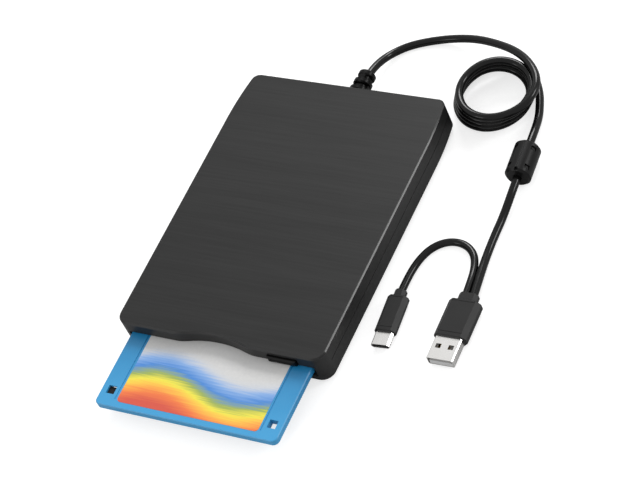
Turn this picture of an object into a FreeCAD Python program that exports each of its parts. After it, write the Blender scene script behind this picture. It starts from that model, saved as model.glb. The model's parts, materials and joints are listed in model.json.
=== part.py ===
import FreeCAD, Part
import math
import os

# External floppy disk drive with a diskette part way in its slot, in millimetres.
# It is drawn about the middle of the case. Saved, its origin is on the surface that the feet rest on, under the
# middle of the whole length from the diskette's outer edge to the tip of the cable boot.
# +X is to the right seen from the slot, +Y points to the cable and +Z is up.

V = FreeCAD.Vector

# Diskette
disk_width = 90.0
disk_length = 94.0
disk_thickness = 3.3
disk_skin = 0.85
disk_corner = 2.6
disk_bevel = 0.35
media_radius = 42.9
media_thickness = 0.2
hub_radius = 12.5
hub_setback = 46.0
head_window_width = 9.0
head_window_length = 23.0
shutter_sheet = 0.2
shutter_width = 32.0
shutter_depth = 30.0
shutter_travel = 20.0
label_width = 70.0
label_length = 50.0
label_margin = 3.0
label_thickness = 0.08
write_hole = 4.0
write_hole_x = 40.0
write_hole_edge = 6.0

# Where the diskette stands in the photograph, and the room for it
disk_out = 39.4
finger_room = 2.0
slide_gap = 0.3
slot_gap = 0.43

# Case
wall = 1.4
roof = 1.2
floor_thickness = 1.2
foot_height = 1.0
rear_bay = 46.0
case_side_gap = 2.1
bezel_depth = 4.2
under_disk = 3.82
over_disk = 5.08
parting_drop = 0.76
front_corner = 5.5
rear_corner = 4.0
top_edge_bevel = 0.7
bottom_edge_bevel = 1.2
taper_length = 26.0
taper_radius = 150.0
notch_centre = -2.0
notch_half = 20.0
notch_depth = 2.9
notch_end_radius = 18.0
lip_thickness = 0.8
lip_height = 1.0
lip_gap = 0.2
part_line = 0.3

# Feet and screws
foot_radius = 5.0
foot_seat = 0.3
foot_x = 38.0
foot_front = 13.0
foot_rear = 21.0
case_screw_x = 44.0
case_screw_back = 9.0
boss_radius = 3.0
screw_radius = 1.0
screw_clearance = 0.05
screw_head_radius = 2.2
screw_head = 1.8

# Sheet metal frame and holder
frame_rib = 0.4
pan_sheet = 0.8
frame_wall = 1.0
frame_gap = 0.8
holder_sheet = 0.6
holder_flange = 2.8
holder_top_gap = 0.38
holder_front = 11.0
holder_pin = 1.0
arm_slot_half = 8.0
frame_front = 7.0
frame_screw_x = 40.0
pan_rear_half = 36.0
pan_window = (27.0, 37.0)
pan_window_reach = 22.0
holder_stop = (28.0, 37.0)
holder_window_x = 26.0
holder_window_half = 7.0
plate_slot_x = 35.0
plate_opening_half = 19.0
hook_setback = 24.0
frame_screw_radius = 0.9
frame_screw_head = 0.8

# Eject button and its slide plate
button_width = 14.0
button_height = 3.35
button_x = 31.6
button_proud = 1.2
button_gap = 0.3
button_travel = 3.6
plate_gap = 0.4
plate_sheet = 0.6
spring_x = -38.7
spring_radius = 1.1
spring_length = 13.0
spring_rings = 7

# Spindle
motor_board = 0.8
rotor_radius = 19.0
rotor_sheet = 0.7
rotor_skirt = 1.0
rotor_drop = 0.62
spindle_radius = 2.0
shaft_radius = 1.5
shaft_clearance = 0.08
drive_pin_radius = 1.2
drive_pin_offset = 10.0
coil_count = 9
rotor_holes = 6
rotor_hole_ring = 14.5

# Head carriage
inner_track = 24.7
track_travel = 14.8
head_size = 4.0
arm_width = 10.0
arm_sheet = 1.2
head_gap = 0.32
raised_head_gap = 0.38
carriage_clear = 0.8
carriage_length = 11.4
guide_rod_x = -13.0
guide_rod_radius = 1.2
lead_screw_x = 18.0
lead_screw_radius = 1.5
hinge_pin_radius = 0.8
stepper_radius = 4.7
stepper_length = 12.4
controller_board = 1.2
# Each chip's place across, width, depth and height, in a row near each end of the board.
front_chips = [(-39.5, 3.2, 8.0, 2.4), (-32.0, 10.0, 10.0, 1.4), (-23.0, 3.6, 5.0, 1.0)]
rear_chips = [(-26.0, 7.0, 7.0, 1.2), (-18.0, 4.6, 3.2, 1.6), (-11.0, 2.4, 4.0, 1.1)]

# How finely round pieces are drawn
smallest_round = 2.75
small_round_sides = 12
cord_sides = 8

# Cord
cable_radius = 1.85
pigtail_radius = 1.7
boot_length = 14.0
boot_radius = 4.7
boot_tip_radius = 4.1
boot_core_radius = 3.1
boot_ring = 2.9
boot_rings = 3
boot_x = 1.2
boot_z = 8.8
coil_low_centre = (62.4, 88.3)
coil_low_radius = 18.4
coil_high_centre = (68.65, 84.0)
coil_high_radius = 17.55
coil_levels = 4
ferrite_radius = 5.9
ferrite_length = 17.0
ferrite_end_wall = 2.2
ferrite_x = 91.45
ferrite_y = 51.4
ferrite_turn = 4.5
ferrite_roll = 6.0
ferrite_wall = 1.1
clip_angle = 43.0
clip_spread = 5.0
floor_gap = 0.05

# USB-A plug and USB-C plug
plug_a_width = 14.9
plug_a_thickness = 6.8
plug_a_length = 18.8
plug_a_bevel = 2.1
plug_a_neck = (8.8, 4.8, 4.4)
plug_a_at = (94.3, -22.3)
plug_a_turn = 1.2
shell_a_width = 12.0
shell_a_height = 4.5
shell_a_length = 11.3
shell_a_window = (2.4, 2.2)
shell_a_window_x = 2.9
shell_a_window_out = 4.9
shell_a_sheet = 0.3
plug_c_width = 9.7
plug_c_thickness = 5.2
plug_c_length = 18.5
plug_c_bevel = 1.8
plug_c_neck = (5.2, 4.2, 3.6)
plug_c_at = (63.3, -24.9)
plug_c_turn = 4.5
shell_c_width = 8.34
shell_c_height = 2.56
shell_c_length = 6.5
shell_c_sheet = 0.25
plug_edge = 0.35
grip_groove = 0.3

# Levels, from the floor up
floor_top = foot_height + floor_thickness
pan_bottom = floor_top + frame_rib
pan_top = pan_bottom + pan_sheet
disk_bottom = pan_top + under_disk
disk_top = disk_bottom + disk_thickness
disk_middle = (disk_bottom + disk_top) / 2
ceiling = disk_top + over_disk
case_top = ceiling + roof
split = disk_top - parting_drop
slot_low = disk_bottom - slot_gap
slot_high = disk_top + slot_gap
holder_under = disk_top + holder_top_gap
holder_top = holder_under + holder_sheet
plate_under = holder_top + plate_gap
plate_top = plate_under + plate_sheet

# Widths, from the diskette outwards
disk_half = disk_width / 2
holder_in = disk_half + slide_gap
holder_out = holder_in + holder_sheet
frame_in = holder_out + frame_gap
frame_out = frame_in + frame_wall
case_in = frame_out + case_side_gap
case_half = case_in + wall
slot_half = disk_half + 1.2

# Lengths, from the front of the case back
case_length = disk_length + finger_room + rear_bay
front = -case_length / 2
rear = case_length / 2
home_edge = front + finger_room + disk_length
disk_edge = home_edge - disk_out
disk_tail = disk_edge - disk_length
disk_hub_y = disk_edge - hub_setback
spindle_y = home_edge - hub_setback
head_y = spindle_y + inner_track + track_travel
carriage_front = home_edge + carriage_clear + track_travel
carriage_rear = carriage_front + carriage_length
frame_front_y = front + frame_front
holder_front_y = front + holder_front
frame_rear_y = rear - wall - 1.6
frame_wide_rear = home_edge + 29.0
middle_y = (disk_tail + rear + boot_length) / 2


def box(x0, x1, y0, y1, z0, z1):
    return Part.makeBox(x1 - x0, y1 - y0, z1 - z0, V(x0, y0, z0))


def round_bar(start, along, across, radius):
    """A round bar or hole. A small one is drawn with flat sides, which keeps the model light."""
    length = along.Length
    if radius >= smallest_round:
        return Part.makeCylinder(radius, length, start, along)
    up = along.cross(across).normalize()
    corners = []
    for index in range(small_round_sides):
        angle = 2 * math.pi * index / small_round_sides
        corners.append(start + across * (radius * math.cos(angle)) + up * (radius * math.sin(angle)))
    return Part.Face(Part.makePolygon(corners + corners[:1])).extrude(along)


def post(x, y, z0, z1, radius):
    return round_bar(V(x, y, z0), V(0, 0, z1 - z0), V(1, 0, 0), radius)


def rod_y(x, z, y0, y1, radius):
    return round_bar(V(x, y0, z), V(0, y1 - y0, 0), V(0, 0, 1), radius)


def rod_x(y, z, x0, x1, radius):
    return round_bar(V(x0, y, z), V(x1 - x0, 0, 0), V(0, 1, 0), radius)


def prism(points, z0, z1):
    corners = [V(x, y, z0) for x, y in points]
    outline = Part.makePolygon(corners + corners[:1])
    return Part.Face(outline).extrude(V(0, 0, z1 - z0))


def side_prism(points, x0, x1):
    """A profile of (y, z) points, extruded along X."""
    corners = [V(x0, y, z) for y, z in points]
    outline = Part.makePolygon(corners + corners[:1])
    return Part.Face(outline).extrude(V(x1 - x0, 0, 0))


def fuse(first, *others):
    return first.multiFuse(list(others)).removeSplitter()


def cut(body, *tools):
    for tool in tools:
        body = body.cut(tool)
    return body


def upright_edges(shape):
    found = []
    for edge in shape.Edges:
        bounds = edge.BoundBox
        if bounds.XLength < 1e-6 and bounds.YLength < 1e-6:
            found.append(edge)
    return found


def edges_at(shape, height):
    found = []
    for edge in shape.Edges:
        bounds = edge.BoundBox
        if bounds.ZLength < 1e-6 and abs(bounds.ZMin - height) < 1e-6:
            found.append(edge)
    return found


def rounded_box(x0, x1, y0, y1, z0, z1, radius):
    block = box(x0, x1, y0, y1, z0, z1)
    return block.makeFillet(radius, upright_edges(block))


def edges_along_y(shape):
    return [edge for edge in shape.Edges if edge.BoundBox.YLength > 1]


def edges_across_y(shape):
    return [edge for edge in shape.Edges if edge.BoundBox.YLength < 1e-6]


def both_sides(shape):
    return [shape, shape.mirror(V(0, 0, 0), V(1, 0, 0))]


def save(node, shape):
    shape.translate(V(0, -middle_y, 0))
    shape.exportStep("parts/" + node + ".step")


# Case shells

def notch_arcs():
    """The finger notch of the front edge: a wide hollow with a small reverse bend at each end."""
    half_turn = math.atan(notch_depth / notch_half)
    turn = 2 * half_turn
    hollow_radius = notch_half / math.sin(turn) - notch_end_radius
    start = V(notch_centre - notch_half, front, 0)
    bend = start + V(notch_end_radius * math.sin(turn), notch_end_radius * (1 - math.cos(turn)), 0)
    bend_middle = start + V(notch_end_radius * math.sin(half_turn),
                            notch_end_radius * (1 - math.cos(half_turn)), 0)
    deepest = V(notch_centre, front + notch_depth, 0)
    hollow_middle = deepest + V(-hollow_radius * math.sin(half_turn),
                                -hollow_radius * (1 - math.cos(half_turn)), 0)

    def other(point):
        return V(2 * notch_centre - point.x, point.y, 0)

    return [Part.Arc(start, bend_middle, bend),
            Part.Arc(bend, hollow_middle, deepest),
            Part.Arc(deepest, other(hollow_middle), other(bend)),
            Part.Arc(other(bend), other(bend_middle), other(start))]


def case_block(inset, z0, z1, notched):
    """The case's plan, pulled in by inset, as a solid from z0 to z1."""
    half = case_half - inset
    near = front + inset
    far = rear - inset
    taper_start = rear - taper_length
    radius = taper_radius - inset
    centre_x = case_half - taper_radius
    sweep = math.asin((far - taper_start) / radius)

    def on_taper(angle, side):
        return V(side * (centre_x + radius * math.cos(angle)), taper_start + radius * math.sin(angle), 0)

    corners = {side: on_taper(sweep, side) for side in (-1, 1)}
    edges = []
    if notched:
        arcs = notch_arcs()
        edges.append(Part.LineSegment(V(-half, near, 0), arcs[0].toShape().Vertexes[0].Point))
        edges += arcs
        edges.append(Part.LineSegment(V(notch_centre + notch_half, near, 0), V(half, near, 0)))
    else:
        edges.append(Part.LineSegment(V(-half, near, 0), V(half, near, 0)))
    edges.append(Part.LineSegment(V(half, near, 0), V(half, taper_start, 0)))
    edges.append(Part.Arc(V(half, taper_start, 0), on_taper(sweep / 2, 1), corners[1]))
    edges.append(Part.LineSegment(corners[1], corners[-1]))
    edges.append(Part.Arc(corners[-1], on_taper(sweep / 2, -1), V(-half, taper_start, 0)))
    edges.append(Part.LineSegment(V(-half, taper_start, 0), V(-half, near, 0)))
    outline = Part.Wire([edge.toShape() for edge in edges])
    block = Part.Face(outline).extrude(V(0, 0, z1 - z0))
    block.translate(V(0, 0, z0))
    front_edges = []
    for edge in upright_edges(block):
        place = edge.Vertexes[0].Point
        if abs(place.y - near) < 0.01 and abs(abs(place.x) - half) < 0.01:
            front_edges.append(edge)
    block = block.makeFillet(front_corner - min(inset, front_corner - 1), front_edges)
    rear_edges = [edge for edge in upright_edges(block) if abs(edge.Vertexes[0].Point.y - far) < 0.01]
    return block.makeFillet(rear_corner - min(inset, rear_corner - 1), rear_edges)


def cavity(z0, z1):
    """The room inside the case, behind the thick front wall."""
    room = case_block(wall, z0, z1, False)
    return room.common(box(-case_half, case_half, front + bezel_depth, rear, z0, z1))


def slot_room():
    return box(-slot_half, slot_half, front - 1, front + bezel_depth + 1, slot_low, slot_high)


def cable_hole():
    return rod_y(boot_x, boot_z, rear - wall - 1, rear + 1, boot_radius + 0.1)


def button_room():
    left = button_x - button_width / 2 - button_gap
    right = button_x + button_width / 2 + button_gap
    return box(left, right, front - 1, front + bezel_depth + 1, slot_high - 0.5,
               slot_high + button_height + button_gap)


def screw_places():
    y = rear - case_screw_back
    return [(-case_screw_x, y), (case_screw_x, y)]


def frame_screw_places():
    return [(side * frame_screw_x, y) for side in (-1, 1) for y in (frame_front_y + 20, home_edge - 5)]


def top_cover():
    shell = case_block(0, split, case_top, True)
    shell = shell.makeChamfer(top_edge_bevel, edges_at(shell, case_top))
    shell = cut(shell, cavity(split - 1, ceiling), slot_room(), button_room(), cable_hole())
    boss_foot = floor_top + 3.8
    for x, y in screw_places():
        boss = post(x, y, boss_foot, ceiling, boss_radius)
        hole = post(x, y, boss_foot - 1, boss_foot + 7, screw_radius + screw_clearance)
        shell = fuse(shell, boss).cut(hole)
    for x in (-30.0, 30.0):
        shell = fuse(shell, box(x - 0.5, x + 0.5, front + bezel_depth + 6, home_edge, plate_top + 0.5, ceiling))
    return shell


def bottom_cover():
    shell = case_block(0, foot_height, split, True)
    shell = shell.makeChamfer(bottom_edge_bevel, edges_at(shell, foot_height))
    shell = cut(shell, cavity(floor_top, split + 1), slot_room(), cable_hole())
    # A shallow step round the upper edge makes the dark parting line.
    step = case_block(-1, split - part_line, split + 1, False)
    step = step.cut(case_block(part_line, split - part_line - 1, split + 2, False))
    step = step.common(box(-case_half - 2, case_half + 2, front + front_corner + 1, rear + 2, split - 1, split + 1))
    shell = shell.cut(step)
    # The lip that stands up inside the top cover.
    lip = case_block(wall + lip_gap, split - 1, split + lip_height, False)
    lip = lip.cut(case_block(wall + lip_gap + lip_thickness, split - 2, split + lip_height + 1, False))
    seat = case_block(wall - 0.4, split - 1, split - 0.2, False)
    seat = seat.cut(case_block(wall + lip_gap + lip_thickness, split - 2, split + 1, False))
    lip = fuse(lip, seat)
    lip = lip.common(box(-case_half, case_half, frame_front_y, rear + 1, split - 2, split + lip_height + 1))
    lip = lip.cut(box(boot_x - boot_radius - 1.2, boot_x + boot_radius + 1.2, rear - 8, rear, split - 2, split + 3))
    shell = fuse(shell, lip)
    # The lower edge of the slot is sloped, so that the diskette finds its way in.
    slope = side_prism([(front - 1, slot_low + 1), (front - 1, slot_low - 2.4), (front + 0.01, slot_low - 1.8),
                        (front + 3.2, slot_low + 0.01), (front + 3.2, slot_low + 1)], -slot_half, slot_half)
    shell = shell.cut(slope)
    for x in (-30.0, 30.0):
        shell = fuse(shell, box(x - 1, x + 1, frame_front_y, home_edge + 20, floor_top - 0.5, pan_bottom))
    for x, y in screw_places():
        boss = post(x, y, floor_top - 0.5, floor_top + 3.8, boss_radius)
        shell = fuse(shell, boss)
        shell = shell.cut(post(x, y, 0, floor_top + 4, screw_radius + 0.3))
        shell = shell.cut(post(x, y, 0, foot_height + 2.2, screw_head_radius + 0.2))
    for x, y in frame_screw_places():
        boss = post(x, y, floor_top - 0.5, pan_bottom, 2.4)
        shell = fuse(shell, boss)
        shell = shell.cut(post(x, y, foot_height + 0.3, pan_bottom + 1, frame_screw_radius + screw_clearance))
    for x, y in foot_places():
        shell = shell.cut(post(x, y, foot_height - 1, foot_height + foot_seat, foot_radius + 0.05))
    return shell


def foot_places():
    return [(side * foot_x, y) for side in (-1, 1) for y in (front + foot_front, rear - foot_rear)]


def rubber_feet():
    feet = []
    for x, y in foot_places():
        feet.append(post(x, y, 0, foot_height + foot_seat, foot_radius))
    return Part.makeCompound(feet)


def case_screws():
    screws = []
    for x, y in screw_places():
        seat = foot_height + 2.2
        head = post(x, y, seat - screw_head, seat, screw_head_radius)
        shank = post(x, y, seat - 0.1, floor_top + 10, screw_radius)
        socket = box(x - 1.4, x + 1.4, y - 0.3, y + 0.3, seat - screw_head - 1, seat - screw_head + 0.7)
        socket_across = box(x - 0.3, x + 0.3, y - 1.4, y + 1.4, seat - screw_head - 1, seat - screw_head + 0.7)
        screws.append(cut(fuse(head, shank), socket, socket_across))
    return Part.makeCompound(screws)


# Frame, holder and eject parts

def drive_frame():
    pan = prism([(-frame_out, frame_front_y), (frame_out, frame_front_y), (frame_out, frame_wide_rear),
                 (pan_rear_half, frame_wide_rear), (pan_rear_half, frame_rear_y), (-pan_rear_half, frame_rear_y),
                 (-pan_rear_half, frame_wide_rear), (-frame_out, frame_wide_rear)], pan_bottom, pan_top)
    side = box(frame_in, frame_out, frame_front_y, home_edge + 15, pan_bottom, holder_top - 0.3)
    pieces = both_sides(side)
    rod_z = carriage_axis_z()
    front_post = box(guide_rod_x - 2.4, guide_rod_x + 2.4, home_edge - 3.2, home_edge - 1.4, pan_top - 0.2,
                     rod_z + guide_rod_radius + 0.4)
    rear_post = box(guide_rod_x - 2.4, guide_rod_x + 2.4, carriage_rear + 3.0, carriage_rear + 4.8, pan_top - 0.2,
                    rod_z + guide_rod_radius + 1.0)
    pieces += [front_post, rear_post]
    screw_z = lead_screw_z()
    nose = box(lead_screw_x - 3, lead_screw_x + 3, home_edge + 1.0, home_edge + 2.4, pan_top - 0.2, screw_z + 2.6)
    mount = box(lead_screw_x - 6, lead_screw_x + 6, stepper_front() - 1.0, stepper_front(), pan_top - 0.2,
                screw_z + 4.9)
    pieces += [nose, mount]
    for x, y in board_posts():
        pieces.append(post(x, y, pan_top - 0.2, board_under(), 2.0))
    frame = fuse(pan, *pieces)
    frame = frame.cut(rod_y(guide_rod_x, rod_z, home_edge - 2.4, carriage_rear + 3.9, guide_rod_radius + 0.02))
    frame = frame.cut(rod_y(lead_screw_x, screw_z, home_edge + 0.5, stepper_front() + 1,
                            lead_screw_radius + shaft_clearance))
    for x, y in board_posts():
        frame = frame.cut(post(x, y, pan_bottom - 1, board_under() + 1, 0.9))
    for x, y in frame_screw_places():
        frame = frame.cut(post(x, y, pan_bottom - 1, pan_top + 1, frame_screw_radius + 0.15))
    for y in holder_pin_places():
        hole = rod_x(y, disk_middle, -frame_out - 1, frame_out + 1, holder_pin + 0.1)
        frame = frame.cut(hole)
    # Lightening windows in the pan under the diskette.
    for side_sign in (-1, 1):
        sides = sorted(side_sign * x for x in pan_window)
        window = rounded_box(sides[0], sides[1], spindle_y - pan_window_reach, spindle_y + pan_window_reach,
                             pan_bottom - 1, pan_top + 1, 3.0)
        frame = frame.cut(window)
    return frame


def frame_screws():
    screws = []
    for x, y in frame_screw_places():
        head = post(x, y, pan_top, pan_top + frame_screw_head, 1.9)
        head = head.makeChamfer(0.25, edges_at(head, pan_top + frame_screw_head))
        shank = post(x, y, foot_height + 0.5, pan_top + 0.1, frame_screw_radius)
        slot = box(x - 1.2, x + 1.2, y - 0.25, y + 0.25, pan_top + 0.35, pan_top + 2)
        screws.append(cut(fuse(head, shank), slot))
    return Part.makeCompound(screws)


def holder_pin_places():
    return [holder_front_y + 12, home_edge - 14]


def disk_holder():
    """Folded sheet metal guide that the diskette slides into."""
    rear_edge = home_edge + 0.9
    low = disk_bottom - slide_gap - holder_sheet
    top = box(-holder_out, holder_out, holder_front_y, rear_edge, holder_under, holder_top)
    side = box(holder_in, holder_out, holder_front_y, rear_edge - 8, low, holder_top)
    flange = box(holder_in - holder_flange, holder_out, holder_front_y, rear_edge - 8, low, low + holder_sheet)
    pieces = both_sides(side) + both_sides(flange)
    for y in holder_pin_places():
        pieces += both_sides(rod_x(y, disk_middle, holder_out - 0.3, frame_out - 0.1, holder_pin))
    stop = box(holder_stop[0], holder_stop[1], home_edge + slide_gap, rear_edge, disk_bottom + 0.2, holder_top)
    pieces += both_sides(stop)
    holder = fuse(top, *pieces)
    holder = holder.cut(box(-arm_slot_half, arm_slot_half, spindle_y + 16, rear_edge + 1,
                            holder_under - 1, holder_top + 1))
    holder = holder.cut(post(0, spindle_y, holder_under - 1, holder_top + 1, 9.0))
    for x in (-holder_window_x, holder_window_x):
        holder = holder.cut(rounded_box(x - holder_window_half, x + holder_window_half, spindle_y - 20,
                                        spindle_y + 14, holder_under - 1, holder_top + 1, 2.5))
    # The front edge is flared up and cut back so that a diskette lines up by itself.
    relief = prism([(-arm_slot_half - 12, holder_front_y - 1), (arm_slot_half + 12, holder_front_y - 1),
                    (arm_slot_half, holder_front_y + 6), (-arm_slot_half, holder_front_y + 6)],
                   holder_under - 1, holder_top + 1)
    return holder.cut(relief)


def eject_plate():
    """Slide plate over the holder, pushed back by the eject button."""
    far = home_edge - 6
    near = holder_front_y + 1
    half = holder_in - 1.5
    plate = box(-half, half, near, far, plate_under, plate_top)
    tab = box(button_x - 3.5, button_x + 3.5, front + bezel_depth - 1.4, near + 1, plate_under, plate_top)
    plate = fuse(plate, tab)
    opening = rounded_box(-plate_opening_half, plate_opening_half, spindle_y - 26, far + 10, plate_under - 1, plate_top + 1, 6.0)
    plate = plate.cut(opening)
    for x in (-plate_slot_x, plate_slot_x):
        for y in (near + 10, far - 12):
            slot = rounded_box(x - 1.6, x + 1.6, y - 4, y + 4, plate_under - 1, plate_top + 1, 1.5)
            plate = plate.cut(slot)
    hook = box(spring_x - 1, spring_x + 1, near + hook_setback, near + hook_setback + 0.8, plate_top - 0.1, plate_top + 1.9)
    return fuse(plate, hook)


def plate_studs():
    """Headed studs on the holder that guide the plate's slots."""
    studs = []
    for x in (-plate_slot_x, plate_slot_x):
        for y in (holder_front_y + 11, home_edge - 18):
            centre = y + button_travel / 2
            shank = post(x, centre, holder_top, plate_top + 0.2, 1.2)
            head = post(x, centre, plate_top + 0.15, plate_top + 0.75, 2.3)
            studs.append(fuse(shank, head))
    return Part.makeCompound(studs)


def eject_button():
    left = button_x - button_width / 2
    right = button_x + button_width / 2
    low = slot_high
    high = slot_high + button_height
    cap = box(left, right, front - button_proud, front + bezel_depth + 0.2, low, high)
    rim = [edge for edge in cap.Edges if edge.BoundBox.YMax < front - button_proud + 0.01]
    cap = cap.makeChamfer(0.45, rim)
    flange = box(left - 1, right + 1, front + bezel_depth + 0.2, front + bezel_depth + 1.2, low, high + 0.9)
    button = fuse(cap, flange)
    pocket = box(button_x - 3.5, button_x + 3.5, front + bezel_depth - 1.4, front + bezel_depth + 2,
                 plate_under, plate_top)
    hollow = side_prism([(front - button_proud - 0.1, low + 1.0), (front - button_proud - 0.1, high - 0.9),
                         (front - button_proud + 0.35, (low + high) / 2)], left + 1.6, right - 1.6)
    return cut(button, pocket, hollow)


def eject_spring():
    """Closed spring that pulls the plate's hook forwards, drawn as a row of rings on a thin tube."""
    far = holder_front_y + 1 + hook_setback - 0.3
    near = far - spring_length
    axis = plate_top + spring_radius + 0.25
    spring = rod_y(spring_x, axis, near, far, spring_radius - 0.15)
    pitch = spring_length / spring_rings
    for index in range(spring_rings):
        y = near + pitch * index
        spring = fuse(spring, rod_y(spring_x, axis, y, y + pitch * 0.6, spring_radius))
    return spring.cut(rod_y(spring_x, axis, near - 1, far + 1, spring_radius - 0.45))


# Spindle motor

def motor_board_outline():
    board = box(-24, 24, spindle_y - 24, spindle_y + 21, pan_top, pan_top + motor_board)
    board = board.makeFillet(3.0, upright_edges(board))
    tongue = box(-24, -17.4, spindle_y + 15, home_edge + 2, pan_top, pan_top + motor_board)
    board = fuse(board, tongue)
    return board.cut(post(0, spindle_y, pan_top - 1, pan_top + motor_board + 1, shaft_radius + 1.2))


def spindle_bearing():
    top = rotor_under() - 0.15
    sleeve = post(0, spindle_y, pan_top, top, shaft_radius + 1.15)
    sleeve = fuse(sleeve, post(0, spindle_y, pan_top + motor_board, pan_top + motor_board + 0.4, shaft_radius + 2.4))
    return sleeve.cut(post(0, spindle_y, pan_top + 0.2, top + 1, shaft_radius + shaft_clearance))


def rotor_under():
    return disk_bottom - rotor_drop - rotor_sheet


def stator():
    low = pan_top + motor_board
    high = rotor_under() - 0.35
    middle = (low + high) / 2
    ring = post(0, spindle_y, middle - 0.25, middle + 0.25, 7.6)
    pieces = []
    for index in range(coil_count):
        turn = 360.0 * index / coil_count
        tooth = box(5, rotor_radius - rotor_skirt - 1.2, spindle_y - 1.0, spindle_y + 1.0, middle - 0.25, middle + 0.25)
        winding = box(9.0, rotor_radius - rotor_skirt - 3.4, spindle_y - 1.9, spindle_y + 1.9, low, high)
        for piece in (tooth, winding):
            piece.rotate(V(0, spindle_y, 0), V(0, 0, 1), turn)
            pieces.append(piece)
    ring = fuse(ring, *pieces)
    return ring.cut(post(0, spindle_y, low - 1, high + 1, shaft_radius + 2.6))


def spindle_rotor():
    under = rotor_under()
    top = under + rotor_sheet
    disc = post(0, spindle_y, under, top, rotor_radius)
    disc = disc.makeChamfer(0.3, edges_at(disc, top))
    skirt = post(0, spindle_y, pan_top + motor_board + 0.35, under + 0.1, rotor_radius)
    skirt = skirt.cut(post(0, spindle_y, pan_top, under + 1, rotor_radius - rotor_skirt))
    shaft = post(0, spindle_y, pan_top + 0.35, under + 0.1, shaft_radius)
    nose = post(0, spindle_y, under, disk_bottom - 0.22, spindle_radius)
    nose = nose.makeChamfer(0.25, edges_at(nose, disk_bottom - 0.22))
    rotor = fuse(disc, skirt, shaft, nose)
    for index in range(rotor_holes):
        hole = post(rotor_hole_ring, spindle_y, under - 1, top + 1, 1.4)
        hole.rotate(V(0, spindle_y, 0), V(0, 0, 1), 360.0 * (index + 0.5) / rotor_holes)
        rotor = rotor.cut(hole)
    return rotor


def drive_pin():
    top = rotor_under() + rotor_sheet
    return post(drive_pin_offset, spindle_y, top, disk_bottom - 0.22, drive_pin_radius)


# Head carriage

def carriage_axis_z():
    return pan_top + 1.8


def lead_screw_z():
    return pan_top + stepper_radius + 0.1


def stepper_front():
    return carriage_rear + 2.4


def arm_hinge():
    return carriage_rear - 8.0, holder_top + 1.4


def guide_rod():
    return rod_y(guide_rod_x, carriage_axis_z(), home_edge - 2.4, carriage_rear + 3.9, guide_rod_radius)


def lead_screw():
    return rod_y(lead_screw_x, lead_screw_z(), home_edge + 1.1, stepper_front() + 0.2, lead_screw_radius)


def stepper_motor():
    start = stepper_front()
    body = rod_y(lead_screw_x, lead_screw_z(), start, start + stepper_length, stepper_radius)
    cap = rod_y(lead_screw_x, lead_screw_z(), start + stepper_length, start + stepper_length + 0.6, 2.6)
    body = fuse(body, cap)
    body = body.cut(rod_y(lead_screw_x, lead_screw_z(), start - 1, start + 0.6, lead_screw_radius + 0.3))
    seam = rod_y(lead_screw_x, lead_screw_z(), start + 5.9, start + 6.3, stepper_radius + 1)
    seam = seam.cut(rod_y(lead_screw_x, lead_screw_z(), start + 5, start + 7, stepper_radius - 0.2))
    return body.cut(seam)


def head_carriage():
    low = pan_top + 1.2
    hinge_y, hinge_z = arm_hinge()
    block = box(guide_rod_x - 3.4, 12.6, carriage_front, carriage_rear, low - 0.4, hinge_z - 2.6)
    block = block.makeFillet(1.0, upright_edges(block))
    tip = head_y - head_size / 2 - 1.4
    arm = prism([(-arm_width / 2 + 2, tip), (arm_width / 2 - 2, tip), (arm_width / 2, tip + 4),
                 (arm_width / 2 + 2, carriage_front + 1), (-arm_width / 2 - 2, carriage_front + 1),
                 (-arm_width / 2, tip + 4)], low, low + arm_sheet)
    ears = both_sides(box(arm_width / 2 + 0.2, arm_width / 2 + 1.8, hinge_y - 2.2, hinge_y + 2.2,
                          hinge_z - 3.0, hinge_z + 1.6))
    follower = box(12.0, lead_screw_x - lead_screw_radius - 0.15, carriage_rear - 4.4, carriage_rear - 1.4,
                   lead_screw_z() - 1.4, lead_screw_z() + 1.0)
    carriage = fuse(block, arm, follower, *ears)
    carriage = carriage.cut(rod_y(guide_rod_x, carriage_axis_z(), carriage_front - 1, carriage_rear + 1,
                                  guide_rod_radius + shaft_clearance))
    carriage = carriage.cut(rod_x(hinge_y, hinge_z, -arm_width, arm_width, hinge_pin_radius + 0.02))
    pocket = rounded_box(-5.5, 9.5, carriage_front + 2, carriage_rear - 5, low + arm_sheet + 0.6, hinge_z, 1.0)
    return carriage.cut(pocket)


def lower_head():
    top = disk_bottom - head_gap
    base = pan_top + 1.2 + arm_sheet
    half = head_size / 2
    pad = box(-half, half, head_y - half, head_y + half, base, top)
    pad = pad.makeChamfer(0.4, edges_at(pad, top))
    seat = post(0, head_y, base, base + 0.35, half + 0.9)
    return fuse(pad, seat)


def hinge_pin():
    hinge_y, hinge_z = arm_hinge()
    return rod_x(hinge_y, hinge_z, -arm_width / 2 - 2.1, arm_width / 2 + 2.1, hinge_pin_radius)


def upper_head_arm():
    hinge_y, hinge_z = arm_hinge()
    half = arm_width / 2
    low = hinge_z - 0.1
    tip = head_y - head_size / 2 - 1.2
    arm = prism([(-half + 2.4, tip), (half - 2.4, tip), (half - 0.5, tip + 5), (half, hinge_y - 3),
                 (half, hinge_y), (-half, hinge_y), (-half, hinge_y - 3), (-half + 0.5, tip + 5)], low, low + 1.0)
    barrel = rod_x(hinge_y, hinge_z, -half, half, 1.7)
    rib = box(-0.6, 0.6, tip + 4, hinge_y - 1, low + 0.9, low + 1.7)
    arm = fuse(arm, barrel, rib)
    return arm.cut(rod_x(hinge_y, hinge_z, -half - 1, half + 1, hinge_pin_radius + shaft_clearance))


def upper_head():
    hinge_z = arm_hinge()[1]
    half = head_size / 2
    low = disk_top + raised_head_gap
    high = hinge_z - 0.1
    pad = box(-half, half, head_y - half, head_y + half, low, high)
    return pad.makeChamfer(0.3, edges_at(pad, low))


# Controller board

def board_under():
    return pan_top + 1.2


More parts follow.
